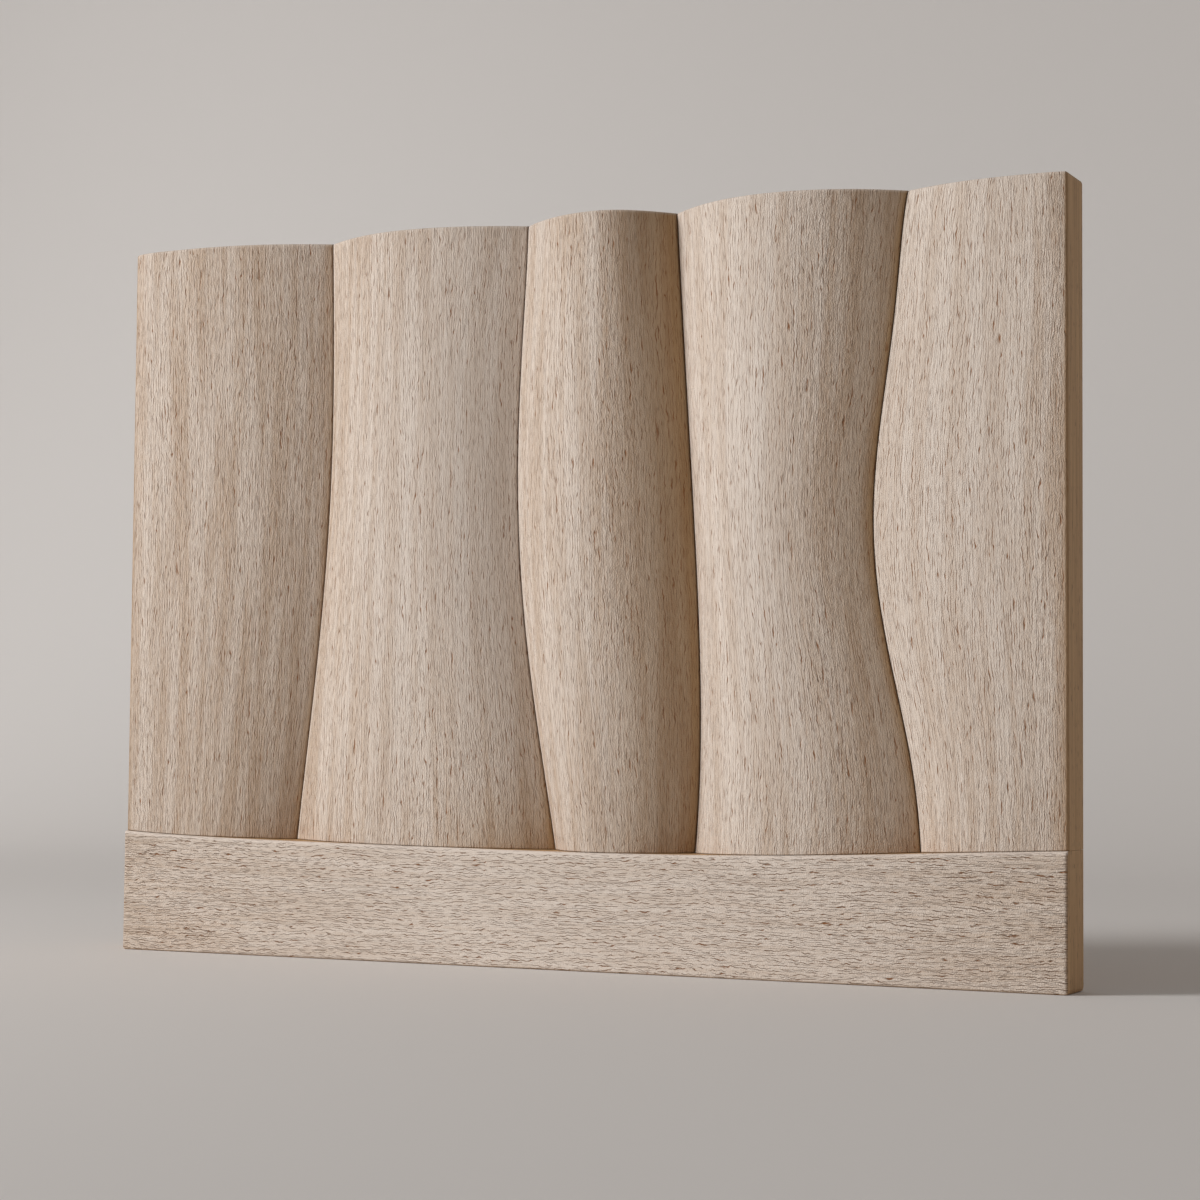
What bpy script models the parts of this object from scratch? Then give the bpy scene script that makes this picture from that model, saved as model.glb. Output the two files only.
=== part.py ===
# Carved wall panel: five upright swells carved in one slab, over a plain foot rail.
# Units are metres. The front looks along -Y and the flat back lies on the plane y = 0.
# The origin is the middle of the back, where the panel is fixed to the wall.

import bmesh
import bpy
import numpy as np

# Whole panel
PANEL_WIDTH = 0.900
PANEL_HEIGHT = 0.650

# Foot rail: heights of its hollow top edge, at even steps from the left end to the right end
RAIL_THICKNESS = 0.046
RAIL_HEIGHTS = (0.1098, 0.1041, 0.1018, 0.1009, 0.1048, 0.1120)
RAIL_TOP_ARRIS = 0.0035
RAIL_STRIPS = 40

# Joint between the rail and the field
JOINT_GAP = 0.0003

# Rounding of the other front arrises
ARRIS_RADIUS = 0.0025
ARRIS_STEPS = 2
QUARTER_ROUND = 0.5

# Thickness of the field at its outer edges and in its four valleys,
# at the top edge, half-way down and at the rail
LEFT_EDGE = (0.0430, 0.0425, 0.0420)
RIGHT_EDGE = (0.0430, 0.0425, 0.0420)
VALLEY_THICKNESS = (
    (0.0165, 0.0125, 0.0080),
    (0.0190, 0.0135, 0.0080),
    (0.0160, 0.0115, 0.0070),
    (0.0245, 0.0270, 0.0110),
)

# Each valley's place, as shares of the panel's width at even steps from the top edge to the rail
VALLEY_COURSE = (
    (0.2224, 0.2239, 0.2182, 0.2029, 0.1839),
    (0.4491, 0.4402, 0.4388, 0.4541, 0.4795),
    (0.6080, 0.6169, 0.6262, 0.6323, 0.6268),
    (0.8444, 0.8339, 0.8210, 0.8126, 0.8221, 0.8422, 0.8524),
)

# Thickness of each swell at its crest, from left to right: at the top edge, half-way down and at the rail
CREST_THICKNESS = (
    (0.0515, 0.0475, 0.0435),
    (0.0495, 0.0465, 0.0440),
    (0.0566, 0.0500, 0.0440),
    (0.0636, 0.0515, 0.0440),
    (0.0460, 0.0448, 0.0435),
)

# The form of each swell. Place: its crest as a share of its width, at the top edge and at the rail.
# Left and right: how full each flank is there, where 2 is a plain arch and more stays high for longer.
SWELLS = (
    {"place": (0.32, 0.27), "left": (4.0, 4.0), "right": (2.2, 2.6)},
    {"place": (0.47, 0.49), "left": (2.0, 2.4), "right": (2.0, 3.0)},
    {"place": (0.59, 0.42), "left": (2.0, 2.2), "right": (1.9, 2.3)},
    {"place": (0.51, 0.47), "left": (2.1, 2.4), "right": (2.1, 2.3)},
    {"place": (0.80, 0.65), "left": (2.5, 2.6), "right": (2.0, 2.0)},
)
STRIPS_PER_SWELL = 12
ROWS = 32

# Finish
OAK = (0.60, 0.51, 0.43, 1.0)
OAK_ROUGHNESS = 0.75


def clear_scene():
    for item in list(bpy.data.objects):
        bpy.data.objects.remove(item)


def oak_material(name):
    material = bpy.data.materials.new(name)
    material.use_nodes = True
    shader = material.node_tree.nodes["Principled BSDF"]
    shader.inputs["Base Color"].default_value = OAK
    shader.inputs["Roughness"].default_value = OAK_ROUGHNESS
    shader.inputs["Metallic"].default_value = 0.0
    return material


def add_object(name, bm):
    bmesh.ops.recalc_face_normals(bm, faces=bm.faces)
    mesh = bpy.data.meshes.new(name)
    bm.to_mesh(mesh)
    bm.free()
    mesh.materials.append(oak_material(name))
    bpy.context.collection.objects.link(bpy.data.objects.new(name, mesh))


def round_arrises(bm, edges, radius):
    bmesh.ops.bevel(bm, geom=edges, offset=radius, segments=ARRIS_STEPS, profile=QUARTER_ROUND, affect="EDGES")


def along(stations, share):
    # The smooth curve through values at even steps, read at a share of its length
    steps = np.linspace(0, 1, len(stations))
    return float(np.polyval(np.polyfit(steps, stations, len(stations) - 1), share))


def rail_top(x):
    return -PANEL_HEIGHT / 2 + along(RAIL_HEIGHTS, x / PANEL_WIDTH + 0.5)


def field_foot(x):
    return rail_top(x) + JOINT_GAP


def border_x(border, drop):
    # Borders 0 and 5 are the panel's edges, with the valleys between them
    if border == 0:
        return -PANEL_WIDTH / 2
    if border == len(SWELLS):
        return PANEL_WIDTH / 2
    return PANEL_WIDTH * (along(VALLEY_COURSE[border - 1], drop) - 0.5)


def border_thickness(border, drop):
    return along((LEFT_EDGE, *VALLEY_THICKNESS, RIGHT_EDGE)[border], drop)


def field_thickness(index, across, drop):
    # The swell stands full height at its crest and falls to the border on each side
    swell = SWELLS[index]
    place = along(swell["place"], drop)
    crest = along(CREST_THICKNESS[index], drop)
    if across < place:
        reach = (place - across) / place
        fall = crest - border_thickness(index, drop)
        return crest - fall * reach ** along(swell["left"], drop)
    reach = (across - place) / (1 - place)
    fall = crest - border_thickness(index + 1, drop)
    return crest - fall * reach ** along(swell["right"], drop)


def make_field():
    # A flat sheet is drawn onto the carved face: its columns follow the swells
    columns = STRIPS_PER_SWELL * len(SWELLS)
    bm = bmesh.new()
    bmesh.ops.create_grid(bm, x_segments=columns, y_segments=ROWS, size=0.5)
    foot = []
    for vert in bm.verts:
        column = round((vert.co.x + 0.5) * columns)
        drop = 0.5 - vert.co.y
        if round(drop * ROWS) == ROWS:
            foot.append(vert)
        index = min(column // STRIPS_PER_SWELL, len(SWELLS) - 1)
        across = column / STRIPS_PER_SWELL - index
        x = along((border_x(index, drop), border_x(index + 1, drop)), across)
        z = along((PANEL_HEIGHT / 2, field_foot(x)), drop)
        vert.co = (x, -field_thickness(index, across, drop), z)

    # Its rim runs straight back to the wall plane and is closed there
    rim = [edge for edge in bm.edges if edge.is_boundary]
    arrises = [edge for edge in rim if not all(vert in foot for vert in edge.verts)]
    drawn = bmesh.ops.extrude_edge_only(bm, edges=rim)["geom"]
    back = [edge for edge in drawn if isinstance(edge, bmesh.types.BMEdge) and edge.is_boundary]
    for vert in {vert for edge in back for vert in edge.verts}:
        vert.co.y = 0.0
    bmesh.ops.edgeloop_fill(bm, edges=back)
    round_arrises(bm, arrises, ARRIS_RADIUS)
    add_object("carved_field", bm)


def make_rail():
    # The rail's outline is drawn out to its thickness, then its front arrises are rounded
    stations = np.linspace(-PANEL_WIDTH / 2, PANEL_WIDTH / 2, RAIL_STRIPS + 1)
    outline = [(stations[0], -PANEL_HEIGHT / 2), (stations[-1], -PANEL_HEIGHT / 2)]
    outline += [(x, rail_top(x)) for x in reversed(stations)]
    bm = bmesh.new()
    back = bm.faces.new([bm.verts.new((x, 0.0, z)) for x, z in outline])
    drawn = bmesh.ops.extrude_face_region(bm, geom=[back])["geom"]
    front = [item for item in drawn if isinstance(item, bmesh.types.BMVert)]
    bmesh.ops.translate(bm, verts=front, vec=(0.0, -RAIL_THICKNESS, 0.0))
    arrises = [edge for edge in bm.edges if all(vert in front for vert in edge.verts)]
    high = [vert for vert in front if vert.co.z > RAIL_TOP_ARRIS - PANEL_HEIGHT / 2]
    round_arrises(bm, [edge for edge in arrises if all(vert in high for vert in edge.verts)], RAIL_TOP_ARRIS)
    round_arrises(bm, [edge for edge in arrises if edge.is_valid], ARRIS_RADIUS)
    add_object("foot_rail", bm)


clear_scene()
make_field()
make_rail()
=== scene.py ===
# Carved wall panel in brushed and limed oak: five upright swells in one slab over a plain foot rail.
# Metres, +Z up, the front towards -Y. The flat back lies on y = 0 with the origin at its middle.
import math

import bmesh
import bpy
import numpy as np
from mathutils import Matrix, Vector, noise


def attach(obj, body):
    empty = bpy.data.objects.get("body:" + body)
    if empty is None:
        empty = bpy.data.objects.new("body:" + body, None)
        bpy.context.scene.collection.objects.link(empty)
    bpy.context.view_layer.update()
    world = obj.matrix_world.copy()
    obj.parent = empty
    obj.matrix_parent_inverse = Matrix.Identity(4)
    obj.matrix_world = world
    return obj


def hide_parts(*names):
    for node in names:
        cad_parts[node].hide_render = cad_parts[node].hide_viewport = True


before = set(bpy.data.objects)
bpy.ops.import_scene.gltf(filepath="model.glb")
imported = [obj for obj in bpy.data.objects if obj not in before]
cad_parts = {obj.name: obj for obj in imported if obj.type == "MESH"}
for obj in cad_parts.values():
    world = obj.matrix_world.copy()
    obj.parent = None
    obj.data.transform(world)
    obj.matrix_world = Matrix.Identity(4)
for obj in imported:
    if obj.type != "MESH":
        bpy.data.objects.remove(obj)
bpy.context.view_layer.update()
print("frame loaded:", sorted(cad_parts))


# the panel's forms are those of the CAD, drawn finer
panel = {
    "width": 0.900,
    "height": 0.650,
    "arris": 0.0025,          # rounding of the outer front edges
    "backArris": 0.0008,      # small easing of the back edges
    "arrisSteps": 2,
    "sharpAngle": 50,         # edges sharper than this aren't shaded smooth
    "cornerWeld": 0.002,      # nearer than this to a back corner, the fine steps are joined to it
    "arrisWearAndHighlight": 2,           # how quickly the burnish or the painted highlight comes in over a rounded edge
}

carvedField = {
    # each valley's place, as shares of the width at even steps from the top edge to the rail
    "valleys": (
        (0.2224, 0.2239, 0.2182, 0.2029, 0.1839),
        (0.4491, 0.4402, 0.4388, 0.4541, 0.4795),
        (0.6080, 0.6169, 0.6262, 0.6323, 0.6268),
        (0.8444, 0.8339, 0.8210, 0.8126, 0.8221, 0.8422, 0.8524),
    ),
    # thickness at the six borders: at the top edge, half-way down and at the rail
    "borderThickness": (
        (0.0430, 0.0425, 0.0420),
        (0.0165, 0.0125, 0.0080),
        (0.0190, 0.0135, 0.0080),
        (0.0160, 0.0115, 0.0070),
        (0.0245, 0.0270, 0.0110),
        (0.0430, 0.0425, 0.0420),
    ),
    # thickness at the five crests, at the same three places
    "crestThickness": (
        (0.0515, 0.0475, 0.0435),
        (0.0495, 0.0465, 0.0440),
        (0.0566, 0.0500, 0.0440),
        (0.0636, 0.0515, 0.0440),
        (0.0460, 0.0448, 0.0435),
    ),
    # the crest as a share of its swell's width, and how full each flank is, at the top edge and at the rail
    "crestPlace": ((0.32, 0.27), (0.47, 0.49), (0.59, 0.42), (0.51, 0.47), (0.80, 0.65)),
    "leftFlank": ((4.0, 4.0), (2.0, 2.4), (2.0, 2.2), (2.1, 2.4), (2.5, 2.6)),
    "rightFlank": ((2.2, 2.6), (2.0, 3.0), (1.9, 2.3), (2.1, 2.3), (2.0, 2.0)),
    # how much painted shading each swell has at its left border, its crest and its right border: at the top
    # edge, half-way down and at the rail. Above nothing it is painted shade, browner on the flanks turned
    # from the light; below nothing it is painted light, a thicker white
    "leftPaintedShading": ((-0.20, -0.15, 0.00), (0.05, 0.00, 0.00), (-0.20, -0.20, -0.10), (-0.45, -0.50, -0.40),
                  (-0.60, -0.60, -0.20)),
    "crestPaintedShading": ((0.05, 0.00, 0.05), (-0.30, -0.70, -0.20), (-0.10, -0.40, -0.05), (-0.50, -0.85, -0.20),
                   (-0.50, -0.60, -0.10)),
    "borderPaintedShading": ((0.05, 0.05, 0.30), (-0.50, -0.90, 0.70), (1.00, 1.00, 0.70), (0.50, 0.60, 0.35),
                    (0.05, 0.10, 0.10)),
    "paintedShadingSpread": 0.8,       # below 1 the painted shade of the right border spreads further towards the crest
    "bandShadeAndBurnish": 0.6,         # painted shade in a narrow band before each valley, and a browner burnished band inside the left arris
    "bandWidth": 0.007,
    "strips": (132, 134, 106, 126, 106),   # across each swell
    "fineStrips": (9, 0.16),  # how many become fine at each border, and the size of the finest
    "rows": 150,
    "fineRows": (12, 0.06),
    "skin": 0.00003,          # taken off the whole face by the brush
    "footArris": 0.0007,      # easing of the foot, over the rail
    "cutDepth": 0.0028,       # the fine parting cut at the bottom of each valley
    "cutWidth": 0.00055,
    "shadowWidth": 0.0008,    # of the dust and shadow in the cuts and over the rail
    "topHighlight": 0.6,           # how strong the painted highlight on the arris of the top edge is
    "lipHighlight": 0.55,          # and on the lip at the right of each valley
    "lipPlace": 0.0018,
    "lipWidth": 0.0009,
    "calmValley": 0.006,      # the gouge and brush marks fade out over these widths
    "calmSide": 0.004,
    "calmTop": 0.006,
    "waveHeight": 0.00016,    # long low waves left by the gouge
    "waveAcross": 0.017,
    "waveAlong": 0.150,
    "ribHeight": 0.00007,     # ribs of hard grain left proud by the wire brush
    "ribAcross": 0.0065,
    "ribAlong": 0.040,
    "grainFollows": 0.85,     # how far the grain leans with the swells' borders
}

footRail = {
    "thickness": 0.046,
    # heights of its hollow top edge at even steps from the left end to the right end
    "heights": (0.1098, 0.1041, 0.1018, 0.1009, 0.1048, 0.1120),
    "topArris": 0.0035,
    "strips": 300,
    "fineStrips": (10, 0.1),
    "rows": 96,
    "fineRows": (10, 0.25),
    "jointGap": 0.0002,
    "waveHeight": 0.00012,
    "waveAcross": 0.014,
    "waveAlong": 0.160,
    "ribHeight": 0.00008,
    "ribAcross": 0.0060,
    "ribAlong": 0.050,
    "paintedShading": (0.10, -0.70, 0.00),   # painted shading as on the field: at the left end, in the middle and at the right end; whiter painted light in the middle
    "wearDelay": 0.8,         # the burnish starts later over this piece's edges
}


def along(stations, share):
    # the smooth curve through values at even steps
    steps = np.linspace(0, 1, len(stations))
    return np.polyval(np.polyfit(steps, stations, len(stations) - 1), share)


def railTop(x):
    return -panel["height"] / 2 + along(footRail["heights"], x / panel["width"] + 0.5)


def fadingSteps(count, fine):
    # shares from 0 to 1 in even steps that become fine towards both ends
    fineCount, finest = fine
    fromEnd = np.minimum(np.arange(count), np.arange(count)[::-1])
    steps = np.minimum(finest + (1 - finest) * fromEnd / fineCount, 1)
    return np.concatenate(([0], np.cumsum(steps))) / steps.sum()


def nearness(distance, reach):
    # 1 on an edge, gone at its reach
    return np.clip(1 - distance / reach, 0, 1)


def gougeAndBrush(across, length, settings, seed):
    # how deep the slow gouge waves and the brushed hollows go, long with the grain and short across it
    worked = np.zeros_like(across)
    for name, shift in (("wave", 0), ("rib", 40)):
        places = zip((across / settings[name + "Across"]).flat, (length / settings[name + "Along"]).flat)
        heights = [noise.noise(Vector((*place, seed + shift))) for place in places]
        worked += settings[name + "Height"] * (1 + np.reshape(heights, across.shape))
    return worked


def carveField():
    # tables of the field's face, a row for each step down and a column for each strip
    counts = carvedField["strips"]
    swellOf = np.append(np.repeat(np.arange(len(counts)), counts), len(counts) - 1)
    across = [fadingSteps(count, carvedField["fineStrips"])[:-1] for count in counts]
    across = np.concatenate([*across, [1.0]])
    drop = fadingSteps(carvedField["rows"], carvedField["fineRows"])
    end = np.full_like(drop, panel["width"] / 2)
    valleys = [panel["width"] * (along(stations, drop) - 0.5) for stations in carvedField["valleys"]]
    borders = np.array([-end, *valleys, end])
    left, right = borders[swellOf].T, borders[swellOf + 1].T
    x = left + across * (right - left)
    top = panel["height"] / 2
    z = top + drop[:, None] * (railTop(x) + footRail["jointGap"] - top)

    # each swell stands full height at its crest and falls to the border on each side
    thickness = np.full_like(x, -carvedField["skin"])
    paintedShading = np.zeros_like(x)
    for swell in range(len(counts)):
        here = swellOf == swell
        place = along(carvedField["crestPlace"][swell], drop)[:, None]
        crest = along(carvedField["crestThickness"][swell], drop)[:, None]
        for reach, border, flank in (
                (nearness(across[here], place), swell, "leftFlank"),
                (nearness(1 - across[here], 1 - place), swell + 1, "rightFlank")):
            fall = crest - along(carvedField["borderThickness"][border], drop)[:, None]
            thickness[:, here] -= fall * reach ** along(carvedField[flank][swell], drop)[:, None]
        thickness[:, here] += crest
        # painted shading: browner painted shade over the flanks turned from the light, whiter painted light
        # where it falls below nothing
        leftPaintedShading, crestPaintedShading, borderPaintedShading = [along(carvedField[name][swell], drop)[:, None]
                                              for name in ("leftPaintedShading", "crestPaintedShading", "borderPaintedShading")]
        paintedShading[:, here] = (crestPaintedShading + (leftPaintedShading - crestPaintedShading) * nearness(across[here], place)
                          + (borderPaintedShading - crestPaintedShading) * reach ** carvedField["paintedShadingSpread"])
    # a narrow band of painted shade before each valley, and a browner band inside the left arris
    for fromBorder in (right - x, x + panel["width"] / 2):
        paintedShading += carvedField["bandShadeAndBurnish"] * nearness(fromBorder, carvedField["bandWidth"])

    # the fibres lean with the swells, and their spacing is measured along the curved face
    arc = np.hypot(np.diff(x, axis=1), np.diff(thickness, axis=1)).mean(0)
    arc = np.concatenate(([0], np.cumsum(arc)))
    upright = np.array([np.interp(row, x.mean(0), arc) for row in x])
    grainAcross = upright + carvedField["grainFollows"] * (arc - upright)

    fromValley = np.min([np.abs(x - border[:, None]) for border in valleys], axis=0)
    fromSide = panel["width"] / 2 - np.abs(x)
    fromFoot = (z - z[-1:]) * np.ones_like(x)
    calm = np.ones_like(x)
    for distance, reach in ((fromValley, "calmValley"), (fromSide, "calmSide"), (top - z, "calmTop")):
        calm *= 1 - nearness(distance, carvedField[reach])
    thickness -= calm * gougeAndBrush(grainAcross, z, carvedField, 3)
    footArris, shadow = carvedField["footArris"], carvedField["shadowWidth"]
    thickness -= footArris * (1 - np.sqrt(1 - nearness(fromFoot, footArris) ** 2))
    thickness -= carvedField["cutDepth"] * np.exp(-(fromValley / carvedField["cutWidth"]) ** 4)

    radius = panel["arris"]
    sideways, upward = nearness(fromSide, radius), nearness(top - z, radius)
    turned = sideways ** 2 + upward ** 2 - (sideways * upward) ** 2
    y = radius * (1 - np.sqrt(1 - turned)) - thickness
    # the free corners are drawn in to a quarter circle
    x -= np.sign(x) * radius * sideways * (1 - np.sqrt(1 - upward ** 2 / 2))
    z -= radius * upward * (1 - np.sqrt(1 - sideways ** 2 / 2))
    lip = np.exp(-((x - left - carvedField["lipPlace"]) / carvedField["lipWidth"]) ** 2) * (swellOf > 0)
    finish = {
        # painted shading: browner painted shade and whiter painted light
        "paintedShading": np.clip(paintedShading, -1, 1),
        "cut": np.maximum(np.exp(-(fromValley / shadow) ** 4), nearness(fromFoot, shadow)),
        "worn": np.clip(sideways * panel["arrisWearAndHighlight"], 0, 1),
        # painted highlight on the top edge's arris and on the lip right of each valley
        "paintedHighlight": np.maximum(carvedField["topHighlight"] * upward, carvedField["lipHighlight"] * lip) * (1 - sideways),
    }
    return {"x": x, "y": y, "z": z, "across": grainAcross, "along": z, "finish": finish}


def shapeRail():
    # tables of the rail's face, a row for each step down and a column for each step along
    x = (fadingSteps(footRail["strips"], footRail["fineStrips"]) - 0.5) * panel["width"]
    x = np.tile(x, (footRail["rows"] + 1, 1))
    bottom = -panel["height"] / 2
    top = railTop(x)
    z = top + fadingSteps(footRail["rows"], footRail["fineRows"])[:, None] * (bottom - top)
    sideways = nearness(panel["width"] / 2 - np.abs(x), panel["arris"])
    upward = nearness(top - z, footRail["topArris"])
    downward = nearness(z - bottom, panel["arris"])
    calm = (1 - sideways) * (1 - upward) * (1 - downward)
    thickness = footRail["thickness"] - calm * gougeAndBrush(z, x, footRail, 11)
    turned = sideways ** 2 + downward ** 2 - (sideways * downward) ** 2
    y = panel["arris"] * (1 - np.sqrt(1 - turned)) - thickness
    y = np.maximum(y, footRail["topArris"] * (1 - np.sqrt(1 - upward ** 2)) - thickness)
    finish = {
        # painted shading along the rail, whiter painted light in the middle
        "paintedShading": along(footRail["paintedShading"], x / panel["width"] + 0.5),
        "cut": np.zeros_like(x),
        "worn": np.clip(np.maximum(sideways, downward) * panel["arrisWearAndHighlight"] - footRail["wearDelay"], 0, 1),
        # painted highlight on the rail's top arris
        "paintedHighlight": np.clip(upward * panel["arrisWearAndHighlight"], 0, 1),
    }
    alongX = x.copy()
    x -= np.sign(x) * panel["arris"] * sideways * (1 - np.sqrt(1 - downward ** 2 / 2))
    z += panel["arris"] * downward * (1 - np.sqrt(1 - sideways ** 2 / 2))
    return {"x": x, "y": y, "z": z, "across": z.copy(), "along": alongX, "finish": finish}


def makeBoard(name, face):
    # a flat grid moved onto the face; each point also carries the grain's direction and what its finish needs
    rows, columns = (size - 1 for size in face["x"].shape)
    bm = bmesh.new()
    bmesh.ops.create_grid(bm, x_segments=columns, y_segments=rows, size=0.5)
    grain = bm.verts.layers.float_vector.new("grain")
    finish = {key: bm.verts.layers.float.new(key) for key in face["finish"]}
    for vert in bm.verts:
        spot = round((0.5 - vert.co.y) * rows), round((vert.co.x + 0.5) * columns)
        vert.co = [face[axis][spot] for axis in "xyz"]
        vert[grain] = (face["across"][spot], face["along"][spot], 0)
        for key, layer in finish.items():
            vert[layer] = face["finish"][key][spot]

    # its rim runs straight back to the wall plane
    rim = [edge for edge in bm.edges if edge.is_boundary]
    sides = len(bm.faces)
    bmesh.ops.extrude_edge_only(bm, edges=rim)
    behind = [vert for vert in bm.verts if vert.is_boundary]
    for vert in behind:
        vert.co.y = 0
    # the fine steps nearest each back corner are welded to it, to leave room for the easing of the back edges
    for right, up in ((-1, -1), (-1, 1), (1, -1), (1, 1)):
        behind = [vert for vert in behind if vert.is_valid]
        corner = max(behind, key=lambda vert: right * vert.co.x + up * vert.co.z)
        near = {vert: corner for vert in behind
                if vert is not corner and (vert.co - corner.co).length < panel["cornerWeld"]}
        bmesh.ops.weld_verts(bm, targetmap=near)
    back = [edge for edge in bm.edges if edge.is_boundary]
    bmesh.ops.edgeloop_fill(bm, edges=back)
    bm.faces.ensure_lookup_table()
    # both ends take the second material; the top, the bottom and the back take the third
    for side in bm.faces[sides:]:
        side.normal_update()
        side.material_index = 1 if abs(side.normal.x) > 0.7 else 2
    bmesh.ops.bevel(bm, geom=back, offset=panel["backArris"], segments=panel["arrisSteps"], profile=0.5,
                    affect="EDGES", material=-1)
    bmesh.ops.recalc_face_normals(bm, faces=bm.faces)
    return addMesh(name, bm)


def addMesh(name, bm):
    mesh = bpy.data.meshes.new(name)
    bm.to_mesh(mesh)
    bm.free()
    mesh.shade_smooth()
    mesh.set_sharp_from_angle(angle=math.radians(panel["sharpAngle"]))
    piece = bpy.data.objects.new(name, mesh)
    bpy.context.collection.objects.link(piece)
    return piece


fieldPiece = makeBoard("carved_field_oak", carveField())
railPiece = makeBoard("foot_rail_oak", shapeRail())
for piece in (fieldPiece, railPiece):
    piece.modifiers.new("flat sides", "WEIGHTED_NORMAL").keep_sharp = True
    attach(piece, "root")
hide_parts("carved_field")
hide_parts("foot_rail")
print("boards made:", len(fieldPiece.data.polygons), "and", len(railPiece.data.polygons), "faces")


def linear(hexColour):
    # sRGB hex to the linear colour that the shader takes
    channels = [int(hexColour[i:i + 2], 16) / 255 for i in (1, 3, 5)]
    return (*[c / 12.92 if c <= 0.04045 else ((c + 0.055) / 1.055) ** 2.4 for c in channels], 1)


def addNode(tree, kind, settings, output=0):
    # a setting is one of the node's options, an input's plain value, or another node's output that feeds it
    node = tree.nodes.new(kind)
    for name, value in settings.items():
        if isinstance(value, bpy.types.NodeSocket):
            tree.links.new(value, node.inputs[name])
        elif isinstance(name, int) or name in node.inputs:
            node.inputs[name].default_value = value
        else:
            setattr(node, name, value)
    return node.outputs[output]


brushedOak = {
    "limed": "#E3D4C6",       # ridges under white liming wax
    "oak": "#B08D68",         # oak where the wax is thin
    # painted light: the white laid where the painted shading falls below nothing
    "paintedLight": "#F4EBE2",
    "shadedLimed": "#B99A74",   # the first two again as painted shade: browner copies for the flanks turned from the light
    "shadedOak": "#9E774F",
    "stroke": "#8A5626",      # brushed-out soft grain that the wax left open
    "pore": "#6B401E",        # open pores that kept no wax
    "arris": "#A8835C",       # burnished outer arrises
    "arrisHighlight": "#E6D8CC",   # painted highlight on the smooth arris on top of the rail, fainter on the field's top edge and the valley lips
    "joint": "#543D2B",       # dust and shadow in the valleys and the joint
    "paintedLightShare": 0.5,          # how far each of these covers the colour below it
    "arrisShare": 0.85,
    "highlightShare": 0.8,
    "jointShare": 0.6,
    "roughness": 0.74,
}

# A pair is a pattern's size across the grain and along it. Sizes, heights and depths are in millimetres.
# A share says how far a pattern shows in the colour, and From and To say where in the noise it sets in
fieldGrain = {
    "bend": 4.0, "bendSize": (45, 170),       # how far the fibres stray sideways, in slow bends and in kinks
    "kink": 0.75, "kinkSize": (4, 5),
    "ridge": (1.3, 9), "ridgeHeight": 0.5,
    "bareFrom": 0.65, "bareTo": 0.35, "bareShare": 0.22,   # thin wax between the ridges
    "lineSpacing": 2.0, "lineDepth": 0.10,
    "lineWidth": 0.15,                        # half a line's width, as a share of the spacing
    "wander": (4, 40), "wanderLines": 2.5,    # how many spacings the lines wander
    "broken": (1.3, 16), "brokenFrom": 0.42, "brokenTo": 0.56,
    "lineShare": 0.25,                        # what still shows of a line where the wax closes it
    "strokeDepth": 0.48, "strokeShare": 0.95,
    "pore": (4.6, 36), "poreDepth": 0.40, "poreShare": 0.50,
    "poreReach": 0.09,                        # half the widest pore's width, as a share of its cell
    "poreNarrowest": 0.3,                     # the narrowest pore, as a share of the widest
    "poreFrom": -0.05, "poreTo": 0.08,        # how softly a pore's edge comes in
    "grit": (1.0, 1.2), "gritHeight": 0.45,
    "swell": (6, 60), "swellHeight": 0.12,
    "streak": (14, 260), "streakFrom": 0.36, "streakTo": 0.66, "streakShare": 0.34,
    "reliefUnderPaint": 0.35,                     # what is left of the relief under the painted shading and the painted highlight
}
railGrain = dict(fieldGrain, bend=5.0, kink=1.0, ridge=(1.4, 9), ridgeHeight=0.6, lineSpacing=1.9,
                 strokeDepth=1.0, strokeShare=1.0, lineShare=0.1, broken=(1.3, 10),
                 pore=(4.6, 28), poreDepth=0.50, streak=(7, 160), streakShare=0.22)


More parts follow.
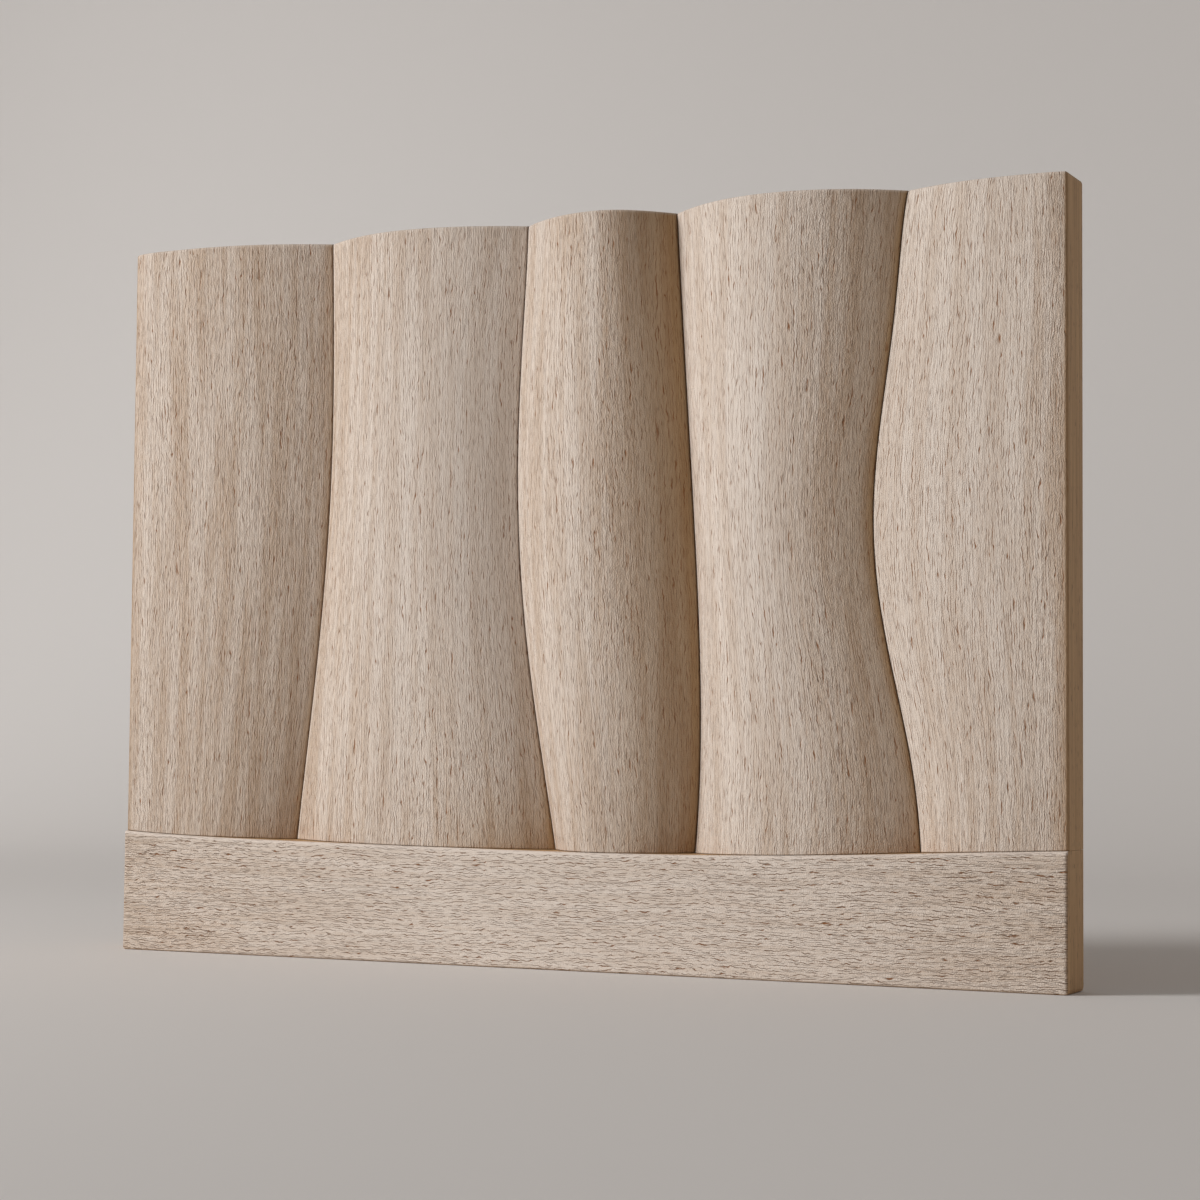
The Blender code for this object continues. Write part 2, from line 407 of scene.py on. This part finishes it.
def makeBrushedOak(name, look, grain):
    # European oak, wire-brushed and rubbed with white liming wax. Dull and pale, with rows of short brown
    # strokes sunk in it, a few longer dark pores and broad streaks where the wax is thin
    material = bpy.data.materials.new(name)
    material.use_nodes = True
    tree = material.node_tree
    board = addNode(tree, "ShaderNodeAttribute", {"attribute_name": "grain"}, 1)
    paintedShading, cut, worn, paintedHighlight = [addNode(tree, "ShaderNodeAttribute", {"attribute_name": finish}, 2)
                              for finish in ("paintedShading", "cut", "worn", "paintedHighlight")]

    def scaledTo(place, size, seed):
        # the place in steps of so many millimetres across the grain and along it
        return addNode(tree, "ShaderNodeMapping", {
            "Vector": place, "Scale": (1000 / size[0], 1000 / size[1], 1), "Location": (seed, 2 * seed, 0)})

    def fibrePattern(place, size, detail, seed):
        return addNode(tree, "ShaderNodeTexNoise", {
            "noise_dimensions": "2D", "Vector": scaledTo(place, size, seed), "Scale": 1, "Detail": detail})

    # the fibres stray: slow bends and short kinks
    bend, kink = [
        addNode(tree, "ShaderNodeMapRange", {
            "Value": fibrePattern(board, grain[name + "Size"], 1, seed),
            "To Min": -grain[name] / 1000, "To Max": grain[name] / 1000})
        for name, seed in (("bend", 5), ("kink", 9))]
    stray = addNode(tree, "ShaderNodeMath", {"operation": "ADD", 0: bend, 1: kink})
    fibres = addNode(tree, "ShaderNodeVectorMath", {
        "operation": "ADD", 0: board, 1: addNode(tree, "ShaderNodeCombineXYZ", {"X": stray})})

    # one long thin opening in each cell of the grain, some wide and some closed by the wax
    cells = {"voronoi_dimensions": "2D", "Vector": scaledTo(fibres, grain["pore"], 61), "Scale": 1}
    chance = addNode(tree, "ShaderNodeSeparateColor", {
        "Color": addNode(tree, "ShaderNodeTexVoronoi", cells, 1)})
    least = grain["poreReach"] * grain["poreNarrowest"]
    width = addNode(tree, "ShaderNodeMath", {
        "operation": "MULTIPLY_ADD", 0: chance, 1: grain["poreReach"] - least, 2: least})
    inside = addNode(tree, "ShaderNodeMath", {
        "operation": "SUBTRACT", 0: width, 1: addNode(tree, "ShaderNodeTexVoronoi", cells)})
    pore = addNode(tree, "ShaderNodeMapRange", {
        "interpolation_type": "SMOOTHSTEP", "Value": inside,
        "From Min": grain["poreFrom"], "From Max": grain["poreTo"]})

    # long hollow lines at uneven spacings, closed by the wax here and there so they show as rows of strokes
    lines = addNode(tree, "ShaderNodeSeparateXYZ", {"Vector": fibres})
    lines = addNode(tree, "ShaderNodeMath", {
        "operation": "MULTIPLY", 0: lines, 1: 1000 / grain["lineSpacing"]})
    wander = fibrePattern(fibres, grain["wander"], 2, 47)
    lines = addNode(tree, "ShaderNodeMath", {
        "operation": "MULTIPLY_ADD", 0: wander, 1: grain["wanderLines"], 2: lines})
    fromLine = addNode(tree, "ShaderNodeMath", {"operation": "PINGPONG", 0: lines, 1: 0.5})
    hollow = addNode(tree, "ShaderNodeMapRange", {
        "interpolation_type": "SMOOTHSTEP", "Value": fromLine,
        "From Min": grain["lineWidth"], "From Max": 0.0})
    unwaxed = addNode(tree, "ShaderNodeMapRange", {
        "interpolation_type": "SMOOTHSTEP", "Value": fibrePattern(fibres, grain["broken"], 1, 21),
        "From Min": grain["brokenFrom"], "From Max": grain["brokenTo"], "To Min": grain["lineShare"]})
    stroke = addNode(tree, "ShaderNodeMath", {"operation": "MULTIPLY", 0: hollow, 1: unwaxed})
    ridge = fibrePattern(fibres, grain["ridge"], 1, 13)
    grit = fibrePattern(fibres, grain["grit"], 0, 72)
    swell = fibrePattern(fibres, grain["swell"], 2, 34)

    # relief in millimetres, softer under the painted shading and the painted highlight
    high = addNode(tree, "ShaderNodeMath", {"operation": "MULTIPLY", 0: swell, 1: grain["swellHeight"]})
    for pattern, height in (
            (ridge, grain["ridgeHeight"]), (hollow, -grain["lineDepth"]), (grit, grain["gritHeight"]),
            (stroke, -grain["strokeDepth"]), (pore, -grain["poreDepth"])):
        high = addNode(tree, "ShaderNodeMath", {"operation": "MULTIPLY_ADD", 0: pattern, 1: height, 2: high})
    paintedMarks = addNode(tree, "ShaderNodeMath", {"operation": "ABSOLUTE", 0: paintedShading})
    paintedMarks = addNode(tree, "ShaderNodeMath", {"operation": "MAXIMUM", 0: paintedMarks, 1: paintedHighlight, "use_clamp": True})
    rough = addNode(tree, "ShaderNodeMapRange", {
        "Value": paintedMarks, "To Min": 1.0, "To Max": grain["reliefUnderPaint"]})
    high = addNode(tree, "ShaderNodeMath", {"operation": "MULTIPLY", 0: high, 1: rough})
    bump = addNode(tree, "ShaderNodeBump", {"Strength": 1.0, "Distance": 0.001, "Height": high})

    # broad streaks and patches of thinner wax
    streaks = addNode(tree, "ShaderNodeMapRange", {
        "interpolation_type": "SMOOTHSTEP", "Value": fibrePattern(board, grain["streak"], 3, 55),
        "From Min": grain["streakFrom"], "From Max": grain["streakTo"], "To Max": grain["streakShare"]})
    # limed and oak turn to their painted-shade copies where the painted shading lies above nothing
    limed = addNode(tree, "ShaderNodeMix", {
        "data_type": "RGBA", 0: paintedShading, 6: linear(look["limed"]), 7: linear(look["shadedLimed"])}, 2)
    oak = addNode(tree, "ShaderNodeMix", {
        "data_type": "RGBA", 0: paintedShading, 6: linear(look["oak"]), 7: linear(look["shadedOak"])}, 2)
    thin = addNode(tree, "ShaderNodeMapRange", {
        "Value": ridge,
        "From Min": grain["bareFrom"], "From Max": grain["bareTo"], "To Max": grain["bareShare"]})
    thin = addNode(tree, "ShaderNodeMath", {"operation": "ADD", 0: thin, 1: streaks})
    colour = addNode(tree, "ShaderNodeMix", {"data_type": "RGBA", 0: thin, 6: limed, 7: oak}, 2)
    # painted light: a thicker white where the painted shading lies below nothing
    paintedLightAmount = addNode(tree, "ShaderNodeMath", {
        "operation": "MULTIPLY", 0: paintedShading, 1: -look["paintedLightShare"], "use_clamp": True})
    colour = addNode(tree, "ShaderNodeMix", {
        "data_type": "RGBA", 0: paintedLightAmount, 6: colour, 7: linear(look["paintedLight"])}, 2)
    # then strokes, pores, burnished arrises, the painted highlight, and dust with painted shadow in the cuts
    for where, share, tint in (
            (stroke, grain["strokeShare"], "stroke"), (pore, grain["poreShare"], "pore"),
            (worn, look["arrisShare"], "arris"), (paintedHighlight, look["highlightShare"], "arrisHighlight"),
            (cut, look["jointShare"], "joint")):
        amount = addNode(tree, "ShaderNodeMath", {"operation": "MULTIPLY", 0: where, 1: share})
        colour = addNode(tree, "ShaderNodeMix", {
            "data_type": "RGBA", 0: amount, 6: colour, 7: linear(look[tint])}, 2)

    shader = tree.nodes["Principled BSDF"]
    shader.inputs["Roughness"].default_value = look["roughness"]
    tree.links.new(colour, shader.inputs["Base Color"])
    tree.links.new(bump, shader.inputs["Normal"])
    return material


planedOak = {
    "oak": "#C9A274",
    "streak": "#AA845A",
    "pore": "#6E5034",
    "streakSize": (2.6, 130), "streakFrom": 0.35, "streakTo": 0.70, "streakShare": 0.8,
    "poreSize": (1.1, 10), "poreFrom": 0.28, "poreTo": 0.21, "poreDepth": 0.10,   # sizes in millimetres
    "relief": 0.15,
    "roughness": 0.6,
}


def makePlanedOak(name, look, fibreAxis):
    # the sides and the back are planed and oiled, not limed: smooth and brown, faintly streaked
    material = bpy.data.materials.new(name)
    material.use_nodes = True
    tree = material.node_tree
    place = addNode(tree, "ShaderNodeTexCoord", {}, 3)

    def fibrePattern(size, detail):
        scale = [1000 / size[axis == fibreAxis] for axis in "xyz"]
        scaled = addNode(tree, "ShaderNodeMapping", {"Vector": place, "Scale": scale})
        return addNode(tree, "ShaderNodeTexNoise", {"Vector": scaled, "Scale": 1, "Detail": detail})

    streaks = fibrePattern(look["streakSize"], 2)
    pores = addNode(tree, "ShaderNodeMapRange", {
        "interpolation_type": "SMOOTHSTEP", "Value": fibrePattern(look["poreSize"], 0),
        "From Min": look["poreFrom"], "From Max": look["poreTo"]})
    streaked = addNode(tree, "ShaderNodeMapRange", {
        "interpolation_type": "SMOOTHSTEP", "Value": streaks,
        "From Min": look["streakFrom"], "From Max": look["streakTo"], "To Max": look["streakShare"]})
    colour = addNode(tree, "ShaderNodeMix", {
        "data_type": "RGBA", 0: streaked, 6: linear(look["oak"]), 7: linear(look["streak"])}, 2)
    colour = addNode(tree, "ShaderNodeMix", {
        "data_type": "RGBA", 0: pores, 6: colour, 7: linear(look["pore"])}, 2)
    high = addNode(tree, "ShaderNodeMath", {
        "operation": "MULTIPLY_ADD", 0: pores, 1: -look["poreDepth"], 2: streaks})
    bump = addNode(tree, "ShaderNodeBump", {"Strength": look["relief"], "Distance": 0.001, "Height": high})
    shader = tree.nodes["Principled BSDF"]
    shader.inputs["Roughness"].default_value = look["roughness"]
    tree.links.new(colour, shader.inputs["Base Color"])
    tree.links.new(bump, shader.inputs["Normal"])
    return material


uprightSides = makePlanedOak("planed_oak_upright", planedOak, "z")
lyingSides = makePlanedOak("planed_oak_lying", planedOak, "x")
for material in (makeBrushedOak("brushed_limed_oak", brushedOak, fieldGrain), uprightSides, uprightSides):
    fieldPiece.data.materials.append(material)
for material in (makeBrushedOak("brushed_limed_oak_rail", brushedOak, railGrain), uprightSides, lyingSides):
    railPiece.data.materials.append(material)
print("materials made")


studio = {
    "paper": "#DEDAD7",
    "paperRoughness": 0.9,
    "keyFrom": (-2.6, -2.0, 1.4),
    "keyStrength": 1.0,
    "keyAngle": 18,
    "nearKeyPower": 57,
    "nearKeySize": 1.1,
    "backdropFrom": (-3.4, 1.2, 1.6),
    "backdropTo": (-4.2, 3.6, 0.2),
    "backdropSize": 1.8,
    "backdropPower": 14,
    "fill": "#C6C1BC",
    "fillStrength": 0.42,
    # the paper lies flat, bends up far behind the panel and rises
    "paperWidth": 18,
    "paperFront": -6,
    "paperFlat": 7.8,
    "paperBend": 2.0,
    "paperSteps": 14,
    "paperRise": 3.5,
    # worked out from the panel's corners in the photo
    "cameraPlace": (1.04526, -2.07706, -0.13926),
    "cameraTurn": (26.300, 93.284, 0.502),
    "cameraLens": 79.827,
}


def drawEdge(bm, edge, move):
    # an edge drawn out into a face; gives the new far edge
    drawn = bmesh.ops.extrude_edge_only(bm, edges=[edge])["geom"]
    ends = [item for item in drawn if isinstance(item, bmesh.types.BMVert)]
    bmesh.ops.translate(bm, verts=ends, vec=move)
    return bm.edges.get(ends)


def makeSweep():
    # a pale paper sweep: each step draws its far edge on
    floor = -panel["height"] / 2
    bendStart = studio["paperFront"] + studio["paperFlat"]
    bm = bmesh.new()
    ends = [bm.verts.new((side * studio["paperWidth"] / 2, studio["paperFront"], floor)) for side in (-1, 1)]
    edge = bm.edges.new(ends)
    edge = drawEdge(bm, edge, (0, studio["paperFlat"], 0))
    centre = (0, bendStart, floor + studio["paperBend"])
    turned = bmesh.ops.spin(bm, geom=[edge, *edge.verts], cent=centre, axis=(1, 0, 0), angle=math.pi / 2,
                            steps=studio["paperSteps"])["geom_last"]
    edge = next(item for item in turned if isinstance(item, bmesh.types.BMEdge))
    drawEdge(bm, edge, (0, 0, studio["paperRise"]))
    bmesh.ops.recalc_face_normals(bm, faces=bm.faces)
    sweep = addMesh("sweep", bm)
    material = bpy.data.materials.new("studio_paper")
    material.use_nodes = True
    paper = material.node_tree.nodes["Principled BSDF"]
    paper.inputs["Base Color"].default_value = linear(studio["paper"])
    paper.inputs["Roughness"].default_value = studio["paperRoughness"]
    sweep.data.materials.append(material)


def addLamp(name, kind, place, target, energy):
    data = bpy.data.lights.new(name, kind)
    data.energy = energy
    lamp = bpy.data.objects.new(name, data)
    bpy.context.collection.objects.link(lamp)
    lamp.location = place
    lamp.rotation_euler = (Vector(target) - Vector(place)).to_track_quat("-Z", "Y").to_euler()
    return data


def makeLights():
    key = addLamp("key", "SUN", studio["keyFrom"], (0, 0, 0), studio["keyStrength"])
    key.angle = math.radians(studio["keyAngle"])
    nearKey = addLamp("near key", "AREA", studio["keyFrom"], (0, 0, 0), studio["nearKeyPower"])
    nearKey.size = studio["nearKeySize"]
    backdropLight = addLamp("backdrop light", "AREA", studio["backdropFrom"], studio["backdropTo"],
                            studio["backdropPower"])
    backdropLight.size = studio["backdropSize"]
    world = bpy.data.worlds.new("studio")
    world.use_nodes = True
    world.node_tree.nodes["Background"].inputs["Color"].default_value = linear(studio["fill"])
    world.node_tree.nodes["Background"].inputs["Strength"].default_value = studio["fillStrength"]
    bpy.context.scene.world = world
    bpy.context.scene.view_settings.view_transform = "Standard"


def makeCamera():
    lens = bpy.data.cameras.new("camera")
    lens.sensor_width = 36
    lens.lens = studio["cameraLens"]
    camera = bpy.data.objects.new("camera", lens)
    bpy.context.collection.objects.link(camera)
    around, tilt, roll = [
        Matrix.Rotation(math.radians(angle), 4, axis) for angle, axis in zip(studio["cameraTurn"], "ZXZ")]
    camera.matrix_world = Matrix.Translation(studio["cameraPlace"]) @ around @ tilt @ roll
    bpy.context.scene.camera = camera


makeSweep()
makeLights()
makeCamera()
print("studio made")
